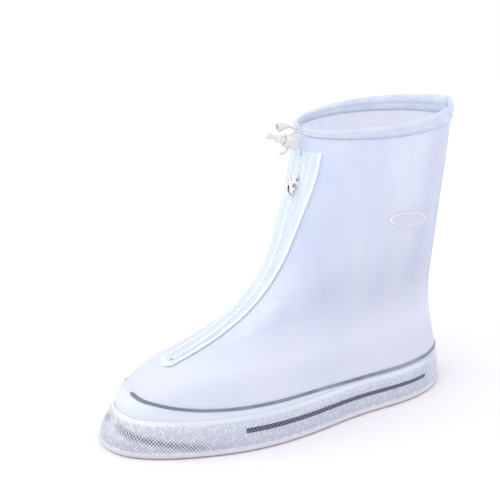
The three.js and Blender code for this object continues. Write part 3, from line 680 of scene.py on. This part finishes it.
def zip_band(side, name, node):
    """One side of the zip's double band, with a raised weld on its edge and fine ones along it."""
    def layout(u, v):
        up = mix(BAND_EDGES[0, 0], BAND_TOP, v)
        half = band_half(up)
        inner = ZIP_LEAN * half + side * smooth(up, *BAND_PARTS)
        aside = mix(inner, side * (half + 0.6), u)
        foot = bump((up - BAND_FOOT_WELD) / 0.004) * (np.abs(aside) < half)
        weld = np.maximum(bump((np.abs(aside) - half + 0.5) / 0.85), 0.8 * foot)
        middle = np.abs(aside - ZIP_LEAN * half) / half
        crease = bump((middle - 0.50) / 0.035) * smooth(half, 5, 10)
        shaded_dip = bump((middle - 0.40) / 0.05) + bump((middle - 0.85) / 0.06)
        return up, aside, weld, crease, shaded_dip

    def place(u, v):
        up, aside, weld, crease, shaded_dip = layout(u, v)
        sign = np.where(aside < 0, -1.0, 1.0)
        wave = 0.3 * np.sin(60 * up + 2 * side) * smooth(u, 0.1, 0.5) * (1 - smooth(u, 0.6, 0.9))
        ends = smooth(v, 0, 0.012) * (1 - smooth(v, 0.985, 1.0))
        out = 0.3 + ends * (0.85 + 0.6 * weld + 0.3 * crease - 0.2 * shaded_dip + wave)
        return on_film(sign, around_at(np.abs(aside), up), up, out)

    columns, rows = 60, 170
    piece = laid(name, columns, rows, place)
    _, _, weld, crease, shaded_dip = layout(*shares(columns, rows))
    # the weld attribute also carries the middle crease's painted highlight
    keep(piece, "weld", np.clip(weld + 0.35 * crease, 0, 1))
    keep(piece, "shaded_dip", np.clip(shaded_dip, 0, 1))
    outer_side_out(piece)
    give_thickness(piece, FOLDED_THICKNESS)
    return done(piece, "cover", "zip_band", BAND, node)


# Sole

# The knurl's dots round the wall, its rows up it and its depth, and how far along the wall each turn lies
KNURL_DOTS = 250
KNURL_ROWS = 8.5
KNURL_DEPTH = 0.6
WALL_TURNS = np.linspace(0, 1, 2001)
WALL_STEPS = np.linalg.norm(np.diff(on_wall(WALL_TURNS, 0.3, 5.0), axis=0), axis=1)
WALL_SHARES = np.concatenate([[0], np.cumsum(WALL_STEPS)]) / np.cumsum(WALL_STEPS)[-1]


def knurl(turn, rise):
    """The knurl's height, from 0 in its hollows to 1 on its crests: staggered rows of small pyramids."""
    dots = KNURL_DOTS * np.interp(turn % 1, WALL_TURNS, WALL_SHARES)
    one = np.cos(2 * np.pi * (dots + rise * KNURL_ROWS))
    other = np.cos(2 * np.pi * (dots - rise * KNURL_ROWS))
    return np.clip(0.5 + 0.25 * (one + other), 0, 1)


def from_toe(turn):
    """How far a turn is from the toe on either side, up to 0.5 at the heel."""
    return np.minimum(turn % 1, 1 - turn % 1)


def knurl_fade(turn, rise):
    """Where the wall is knurled: not on its lip, its top edge and its heel."""
    heel = 1 - smooth(from_toe(turn), 0.405, 0.425)
    return smooth(rise, 0.08, 0.14) * (1 - smooth(rise, 0.90, 0.98)) * heel


def painted_shadow(turn, rise):
    """How much painted shadow darkens the wall: an arc that falls from high at the toe to low along its sides."""
    away = from_toe(turn)
    arc = 0.72 - 3.6 * np.maximum(away - 0.02, 0)
    toe = bump((rise - arc) / 0.11) * (1 - smooth(away, 0.13, 0.19)) * smooth(away, 0.0, 0.03)
    near = 0.16 * (1 - smooth(away, 0.10, 0.2))
    return np.clip(toe + near + 0.14 * bump((rise - 0.18) / 0.08), 0, 1)


WALL_ROUND = np.array([
    # round the section, rise, out
    (0.000, -0.065, 0.30), (0.030, -0.070, 0.85), (0.060, -0.050, 1.03), (0.090, 0.000, 1.07),
    (0.120, 0.055, 1.03), (0.145, 0.100, 0.96), (0.200, 0.160, 0.95), (0.500, 0.480, 0.79),
    (0.740, 0.740, 0.68), (0.820, 0.840, 0.57), (0.880, 0.915, 0.42), (0.930, 0.975, 0.25),
    (0.970, 1.030, 0.11), (1.000, 1.060, 0.03),
])


def sole_wall():
    """The knurled wall as one closed ring; its top lies on the film and its inner face is plain."""
    columns, rows, outer_share = KNURL_DOTS * 5, 64, 0.88

    def layout(turn, section):
        section = section % 1
        outer = section < outer_share
        rise, out = np.moveaxis(curve_through(WALL_ROUND, section / outer_share), -1, 0)
        back = np.clip((section - outer_share) / (1 - outer_share), 0, 1)
        rise = np.where(outer, rise, mix(1.04, -0.06, back))
        out = np.where(outer, out * WALL_FLARE, np.interp(back, [0, 0.2, 1], [-0.2, -1.0, 0.4]))
        dot = mix(0.75, knurl(turn, rise), knurl_fade(turn, rise) * outer)
        return rise, out + (dot - 0.75) * KNURL_DEPTH, dot

    def place(share, section):
        turn = np.interp(share, WALL_SHARES, WALL_TURNS)
        rise, out, _ = layout(turn, section)
        return on_wall(turn, rise, out)

    piece = laid("sole_wall", columns, rows, place)
    share, section = shares(columns, rows)
    turn = np.interp(share, WALL_SHARES, WALL_TURNS)
    rise, _, dot = layout(turn, section)
    keep(piece, "knurl", dot)
    keep(piece, "rise", rise)
    keep(piece, "painted_shadow", painted_shadow(turn, rise))
    keep(piece, "plain", np.maximum(smooth(rise, 0.90, 0.97), 1 - smooth(rise, 0.05, 0.09)))
    keep(piece, "heel", 0.4 * smooth(from_toe(turn), 0.1, 0.25) + 0.6 * smooth(from_toe(turn), 0.36, 0.43))
    face_outwards(piece)
    return done(piece, "cover", "sole_wall", WALL, "sole_cup")


def disc_over(name, out, low, high, rounds):
    """A slab in the sole's outline, from a filled circle whose points are moved to it, with rounded edges."""
    deselect()
    count = 240
    bpy.ops.mesh.primitive_circle_add(vertices=count, radius=1, fill_type="NGON")
    piece = named(name)
    turn = np.arange(count) / count
    ring = on_wall(turn, np.zeros(count), out)
    ring[:, 2] = low * MM
    piece.data.vertices.foreach_set("co", ring.ravel())
    bpy.ops.object.mode_set(mode="EDIT")
    bpy.ops.mesh.select_all(action="SELECT")
    bpy.ops.mesh.extrude_region_move(TRANSFORM_OT_translate={"value": (0, 0, (high - low) * MM)})
    bpy.ops.object.mode_set(mode="OBJECT")
    face_outwards(piece)
    edge = piece.modifiers.new("edge", "BEVEL")
    edge.width, edge.segments, edge.limit_method, edge.angle_limit = rounds * MM, 3, "ANGLE", math.radians(60)
    return apply_all(piece)


# The wall's lip as a share of its flare, how far the tan sheet's edge lies inside it and its top within the wall,
# and the rounding of the sheet's edges and of the floor's
LIP_SHARE = 1.05
OUTSOLE_SETBACK = 1.4
OUTSOLE_OVERLAP = 0.2
OUTSOLE_ROUNDING = 0.6
FLOOR_ROUNDING = 0.4


def outsole():
    out = WALL_FLARE * LIP_SHARE - OUTSOLE_SETBACK
    piece = disc_over("tan_outsole", out, 0.0, OUTSOLE_THICKNESS + OUTSOLE_OVERLAP, OUTSOLE_ROUNDING)
    return done(piece, "cover", "outsole", TAN, "outsole")


def sole_floor():
    piece = disc_over("sole_floor", WALL_FLARE * 0.3, SOLE_BOTTOM, SOLE_FLOOR, FLOOR_ROUNDING)
    return done(piece, "cover", "sole_wall", PALE)


# The dark strips' front and back end: the turn, the height above the ground and the strip's own height
STRIP_TURNS = (0.197, 0.402)
STRIP_RISES = (15.3, 14.1)
STRIP_HEIGHTS = (4.0, 3.0)


def side_strip(side, name, node):
    """A dark strip under the knurl, square at both ends."""
    def layout(u, v):
        turn = mix(*STRIP_TURNS, u)
        top = foot_line(turn, 0 * turn)[0][..., 2] - WALL_GAP
        rise = (mix(*STRIP_RISES, u) + v * mix(*STRIP_HEIGHTS, u) - SOLE_BOTTOM) / (top - SOLE_BOTTOM)
        return (turn if side > 0 else 1 - turn), rise

    def place(u, v):
        turn, rise = layout(u, v)
        face = np.interp(rise, WALL_FACE[:, 0], WALL_FACE[:, 1]) * WALL_FLARE
        edges = smooth(np.minimum(v, 1 - v), 0, 0.1)
        return on_wall(turn, rise, face + 0.05 + 0.3 * edges + (knurl(turn, rise) - 0.5) * KNURL_DEPTH)

    columns, rows = 520, 12
    piece = laid(name, columns, rows, place)
    keep(piece, "knurl", knurl(*layout(*shares(columns, rows))))
    outer_side_out(piece)
    give_thickness(piece, STRIP_THICKNESS)
    return done(piece, "cover", "dark_strip", STRIP, node)


# Where around the film the grey line ends, on the outer and the inner side, and how wide it is
LINE_ENDS = (0.02, 0.17)
LINE_WIDTH = 3.4


def grey_line():
    """The half-round grey line on the film, tapering at its toe ends."""
    def place(u, v):
        side, around = side_of(mix(LINE_ENDS[0], 2 - LINE_ENDS[1], u) / 2)
        taper = np.minimum(1, 0.35 + np.minimum(u, 1 - u) * 45)
        angle = np.pi * v
        tall = taper * LINE_WIDTH / (COVER_HEIGHT * (1 - SECTIONS[0, 2]))
        up = line_up(around) - np.cos(angle) * tall / 2
        return on_film(side, around, up, 0.1 + 0.9 * taper * np.sin(angle))

    columns, rows = 480, 14
    piece = laid("grey_line", columns, rows, place)
    u, v = shares(columns, rows)
    keep(piece, "edge", np.abs(np.cos(np.pi * v)) ** 1.8)
    keep(piece, "soft", smooth(np.minimum(u, 1 - u), 0.1, 0.3))
    outer_side_out(piece)
    give_thickness(piece, LINE_THICKNESS)
    return done(piece, "cover", "grey_line", LINE, "bond_line")


# Where around and up the film the badge lies, its length and height, its tilt, and the rings inside its edge
BADGE_PLACE = (0.59, 0.705)
BADGE_SIZE = (46.0, 12.0)
BADGE_TILT = -11.0
BADGE_INSETS = (0.03, 0.04, 0.05, 0.05, 0.05, 0.12, 0.14, 0.16, 0.12)


def side_badge():
    """A plain raised oval with a rounded rim, from a circle that is inset and laid on the film."""
    deselect()
    bpy.ops.mesh.primitive_circle_add(vertices=96, radius=1, fill_type="NGON")
    piece = named("side_badge_oval")
    bpy.ops.object.mode_set(mode="EDIT")
    bpy.ops.mesh.select_all(action="SELECT")
    for step in BADGE_INSETS:
        bpy.ops.mesh.inset(thickness=step, depth=0)
    bpy.ops.object.mode_set(mode="OBJECT")
    flat = np.array([v.co[:2] for v in piece.data.vertices])
    reach = np.linalg.norm(flat, axis=1)
    tilt = math.radians(BADGE_TILT)
    x, y = flat[:, 0] * BADGE_SIZE[0] / 2, flat[:, 1] * BADGE_SIZE[1] / 2
    across, tall = x * math.cos(tilt) - y * math.sin(tilt), x * math.sin(tilt) + y * math.cos(tilt)
    at, level = BADGE_PLACE
    step = 0.01
    fore, aft, below, above = on_film(
        1,
        np.array([at - step, at + step, at, at]),
        np.array([level, level, level - step, level + step]),
    )
    per_around = np.linalg.norm(aft - fore) / MM / (2 * step)
    per_up = np.linalg.norm(above - below) / MM / (2 * step)
    rim = bump((reach - 0.90) / 0.07)
    out = 0.15 + 0.55 * smooth(1 - reach, 0, 0.05) + 0.45 * rim
    points = on_film(1, at + across / per_around, level + tall / per_up, out)
    piece.data.vertices.foreach_set("co", points.ravel())
    keep(piece, "rim", rim)
    outer_side_out(piece)
    give_thickness(piece, BADGE_THICKNESS)
    return done(piece, "cover", "badge", BADGE, "side_badge")


# Hem, cord and lock

HEM_OUTLINE = np.array([
    # round, out, rise
    (0.00, 0.9, -0.10), (0.05, 1.6, 0.00), (0.12, 1.9, 0.16), (0.22, 2.1, 0.42),
    (0.33, 1.6, 0.78), (0.42, 0.4, 0.98), (0.50, -0.8, 0.98), (0.60, -2.0, 0.78),
    (0.75, -2.4, 0.38), (0.90, -1.9, 0.04), (1.00, -1.5, -0.08),
])


def hem():
    """The folded hem: a flat tube of film with gathers, deeper at the front ends and at the pinched back."""
    start = float(around_at(np.array(HEM_SPLIT / 2), np.array(HEM_MIDDLE)))

    def place(u, v):
        turn = mix(start, 2 - start, u) / 2
        side, around = side_of(turn)
        out, rise = np.moveaxis(curve_through(HEM_OUTLINE, v), -1, 0)
        up = mix(HEM_LINE, 1.0, np.clip(rise, -0.4, 1))
        deep = 0.15 + 0.5 * smooth(around, 0.82, 0.97) + 0.35 * (1 - smooth(around, 0.05, 0.2))
        waves = np.sin(118 * around + 2.3 * np.sin(19 * around) + side) * (0.6 + 0.4 * np.sin(31 * around))
        slack = 0.4 * np.sin(46 * around + 1.7 * side + 2 * rise) * smooth(around, 0.05, 0.3)
        gather = deep * waves * np.sin(np.pi * np.clip(rise, 0, 1)) * np.sign(out)
        return on_film(side, around, up, out + gather + 0.35 * slack)

    columns, rows = 460, 44
    piece = laid("hem_casing", columns, rows, place)
    _, v = shares(columns, rows)
    keep(piece, "weld", bump((v - 0.015) / 0.025) + 0.6 * bump((v - 0.985) / 0.03))
    face_outwards(piece)
    give_thickness(piece, FOLDED_THICKNESS)
    return done(piece, "cover", "film", HEM, "hem_channel")


# Where the lock and the bell hang, from the last's middle, how far the lock tilts, and the cord's braid
LOCK_PLACE = (2.5, 7.096, 221.36)
LOCK_TILT = 21.0
BELL_PLACE = (-2.5, 2.596, 233.06)
CORD_RADIUS = 1.0
BRAID_DEPTH = 0.12
BRAID_PITCH = 2.6


def at_lock(*points):
    """Points of the cord lock's own frame, its y along the button, brought to where it hangs."""
    turn = math.pi - math.radians(LOCK_TILT)
    x, y, z = np.array(points, float).T
    turned_y = y * math.cos(turn) - z * math.sin(turn)
    turned_z = y * math.sin(turn) + z * math.cos(turn)
    return np.stack([x, turned_y, turned_z], -1) + LOCK_PLACE


def hem_cord():
    """The braided drawcord: its tail, up through the lock, round inside the hem and out to its bell."""
    first = float(around_at(np.array(HEM_SPLIT / 2 + 1), np.array(HEM_MIDDLE)))
    side, around = side_of(mix(first, 2 - first, np.linspace(0, 1, 53)) / 2)
    in_hem = on_film(side, around, mix(HEM_LINE, 1, 0.48), -0.24) / MM - LAST_MIDDLE
    (_, start_y, start_z), (_, end_y, end_z) = in_hem[0], in_hem[-1]
    route = np.concatenate([
        at_lock((0, 7, 11.5), (0, 2.2, 9), (0, 1, 6), (0, 1, 0), (0, 1, -6)),
        [(2.2, start_y - 5.5, start_z - 0.8), (2.9, start_y - 1.6, start_z)],
        in_hem,
        [(-2.9, end_y - 1.6, end_z), (-2.5, end_y - 5.5, end_z + 0.2)],
        [(BELL_PLACE[0], BELL_PLACE[1] + 4.5, BELL_PLACE[2]), BELL_PLACE],
    ])
    steps = np.linalg.norm(np.diff(route, axis=0), axis=1)
    length = np.concatenate([[0], np.cumsum(steps)])
    columns, rows = 1400, 20
    at = np.linspace(0, length[-1], columns + 1)
    line = curve_through(np.column_stack([length, route]), at)
    along = np.gradient(line, axis=0)
    along /= np.linalg.norm(along, axis=1, keepdims=True)
    ways, way = [], np.array([1.0, 0.0, 0.0])
    for direction in along:
        way = way - direction * (way @ direction)
        way /= np.linalg.norm(way)
        ways.append(way)
    ways = np.array(ways)
    others = np.cross(along, ways)

    def strand(u, v):
        slant = 2 * np.pi * u * length[-1] / BRAID_PITCH
        return 0.5 + 0.5 * np.sin(8 * np.pi * v + slant) * np.sin(8 * np.pi * v - slant)

    def place(u, v):
        i = np.rint(u * columns).astype(int)
        thick = CORD_RADIUS - BRAID_DEPTH * (1 - strand(u, v))
        radius = thick * np.sqrt(smooth(np.minimum(u, 1 - u), 0, 0.003))
        angle = 2 * np.pi * (v % 1)
        across = ways[i] * np.cos(angle)[:, None] + others[i] * np.sin(angle)[:, None]
        return (line[i] + across * radius[:, None] + LAST_MIDDLE) * MM

    piece = laid("hem_cord", columns, rows, place)
    keep(piece, "strand", strand(*shares(columns, rows)))
    face_outwards(piece)
    return done(piece, "cover", "cord", CORD, "drawcord")


# The zip's teeth: from where to where up the film and how high over it, and one tooth's pitch, size, nose,
# rounding and distance from the chain's middle
TEETH_ENDS = (0.262, 0.913)
TEETH_HEIGHT = 1.15
TOOTH_PITCH = 2.2
TOOTH_SIZE = (2.2, 1.5, 1.0)
TOOTH_NOSE = 0.7
TOOTH_ROUNDING = 0.22
ROW_FROM_MIDDLE = 1.1


def zip_teeth():
    """The zip's teeth in two rows, one tooth modelled and copied down the chain."""
    deselect()
    bpy.ops.mesh.primitive_cube_add(size=1)
    tooth = named("tooth")
    bpy.ops.object.mode_set(mode="EDIT")
    bpy.ops.mesh.select_all(action="SELECT")
    bpy.ops.transform.resize(value=[size * MM for size in TOOTH_SIZE])
    bpy.ops.object.mode_set(mode="OBJECT")
    for face in tooth.data.polygons:
        face.select = face.normal.x < -0.9
    bpy.ops.object.mode_set(mode="EDIT")
    bpy.ops.mesh.select_mode(type="FACE")
    bpy.ops.mesh.extrude_region_move(TRANSFORM_OT_translate={"value": (-TOOTH_NOSE * MM, 0, 0)})
    bpy.ops.transform.resize(value=(1, 0.6, 0.75))
    bpy.ops.mesh.select_all(action="SELECT")
    bpy.ops.mesh.bevel(offset=TOOTH_ROUNDING * MM, segments=2, affect="EDGES")
    bpy.ops.object.mode_set(mode="OBJECT")

    def beside(by):
        return on_film(1, around_at(aside + by, up), up, TEETH_HEIGHT)

    up = np.linspace(*TEETH_ENDS, 600)
    aside = ZIP_LEAN * band_half(up)
    middle = beside(0.0)
    aside_by = beside(0.5) - beside(-0.5)
    length = np.concatenate([[0], np.cumsum(np.linalg.norm(np.diff(middle, axis=0), axis=1))]) / MM
    copies = []
    for i in range(int(length[-1] / TOOTH_PITCH) * 2):
        row = 1 if i % 2 else -1
        at = (i / 2 + 0.3) * TOOTH_PITCH
        k = min(int(np.searchsorted(length, at)), len(up) - 2)
        along = Vector(middle[k + 1] - middle[k]).normalized()
        across = Vector(aside_by[k] * row).normalized()
        away = across.cross(along).normalized()
        if away.y > 0:
            away = -away
        along = away.cross(across)
        copy = tooth.copy()
        copy.data = tooth.data.copy()
        bpy.context.scene.collection.objects.link(copy)
        copy.matrix_world = Matrix((across, along, away)).transposed().to_4x4()
        copy.matrix_world.translation = Vector(middle[k]) + across * ROW_FROM_MIDDLE * MM
        copies.append(copy)
    bpy.data.objects.remove(tooth)
    take(copies[0])
    for copy in copies:
        copy.select_set(True)
    bpy.ops.object.join()
    piece = named("zip_teeth")
    bpy.ops.object.transform_apply(location=True, rotation=True, scale=True)
    return done(piece, "cover", "zip_teeth", TEETH, "zip_chain")


def rounded_copy(node, name, body, slot, finish, width):
    """A moulded or cast piece with its edges rounded."""
    piece = bpy.data.objects.new(name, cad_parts[node].data.copy())
    bpy.context.scene.collection.objects.link(piece)
    take(piece)
    bpy.ops.object.mode_set(mode="EDIT")
    bpy.ops.mesh.select_all(action="SELECT")
    bpy.ops.mesh.remove_doubles(threshold=JOIN_DISTANCE)
    bpy.ops.mesh.dissolve_limited(angle_limit=math.radians(1))
    bpy.ops.object.mode_set(mode="OBJECT")
    edge = piece.modifiers.new("edge", "BEVEL")
    edge.width, edge.segments, edge.limit_method, edge.angle_limit = width * MM, 2, "ANGLE", math.radians(30)
    apply_all(piece)
    return done(piece, body, slot, finish, node)


for side, name, node in ((1, "film_outer", "upper_outer"), (-1, "film_inner", "upper_inner")):
    film_panel(side, name, node)
for side, name, node in ((1, "band_outer", "zip_tape_outer"), (-1, "band_inner", "zip_tape_inner")):
    zip_band(side, name, node)
sole_wall()
sole_floor()
outsole()
for side, name, node in ((1, "strip_outer", "side_strip_outer"), (-1, "strip_inner", "side_strip_inner")):
    side_strip(side, name, node)
grey_line()
side_badge()
hem()
hem_cord()
zip_teeth()
rounded_copy("zip_slider", "slider", "cover", "zip_metal", METAL, 0.2)
rounded_copy("zip_pull", "pull_tab", "pull", "zip_metal", METAL, 0.2)
rounded_copy("cord_lock_body", "lock_barrel", "cover", "white_plastic", WHITE, 0.3)
rounded_copy("cord_lock_button", "lock_button", "button", "white_plastic", WHITE, 0.2)
rounded_copy("cord_end", "cord_bell", "cover", "white_plastic", WHITE, 0.3)


# Floor, light and camera

def floor_finish():
    f = Finish("pale_floor", Specular_IOR_Level=0.2)
    base = f.blend(f.grain(300), tone(245, 243, 247), tone(243, 242, 246))
    return f.wear(Base_Color=base, Roughness=0.75)


def floor():
    deselect()
    bpy.ops.mesh.primitive_plane_add(size=60, location=(0, 0, 0))
    plane = named("floor")
    plane.data.materials.append(floor_finish())


def lamp(name, kind, place, aim, power, colour, **settings):
    data = bpy.data.lights.new(name, kind)
    data.energy, data.color = power, colour
    for key, value in settings.items():
        setattr(data, key, value)
    lit = bpy.data.objects.new(name, data)
    bpy.context.scene.collection.objects.link(lit)
    lit.location = place
    lit.rotation_mode = "QUATERNION"
    lit.rotation_quaternion = (Vector(aim) - Vector(place)).to_track_quat("-Z", "Y")


def camera():
    azimuth, elevation, distance, aim_height = math.radians(60), math.radians(20), 1.150, 0.110
    back = Vector((math.sin(azimuth) * math.cos(elevation), -math.cos(azimuth) * math.cos(elevation),
                   math.sin(elevation)))
    data = bpy.data.cameras.new("camera")
    data.sensor_width, data.lens, data.shift_x, data.shift_y = 36.0, 104.4, -0.062, 0.058
    data.clip_start, data.clip_end = 0.05, 50
    view = bpy.data.objects.new("camera", data)
    bpy.context.scene.collection.objects.link(view)
    view.location = Vector(LAST_MIDDLE * MM) + Vector((0, 0, aim_height)) + back * distance
    view.rotation_mode = "QUATERNION"
    view.rotation_quaternion = (-back).to_track_quat("-Z", "Y")
    bpy.context.scene.camera = view


floor()
lamp("sun", "SUN", (0.5, -1.6, 2.4), (0, 0, 0), 0.6, (1.0, 0.99, 0.97), angle=math.radians(40))
lamp("softbox", "AREA", (-0.9, -1.3, 0.9), (0, 0, 0.12), 5.0, (0.97, 0.98, 1.0), shape="SQUARE", size=0.9)
lamp("back_softbox", "AREA", (0.6, 1.5, 1.0), (0, 0, 0.12), 3.0, (0.98, 0.98, 1.0), shape="SQUARE", size=1.0)
world = bpy.data.worlds.new("studio")
bpy.context.scene.world = world
world.use_nodes = True
world.node_tree.nodes["Background"].inputs["Color"].default_value = (0.985, 0.985, 1.0, 1.0)
world.node_tree.nodes["Background"].inputs["Strength"].default_value = 0.96
bpy.context.scene.view_settings.view_transform = "Standard"
camera()
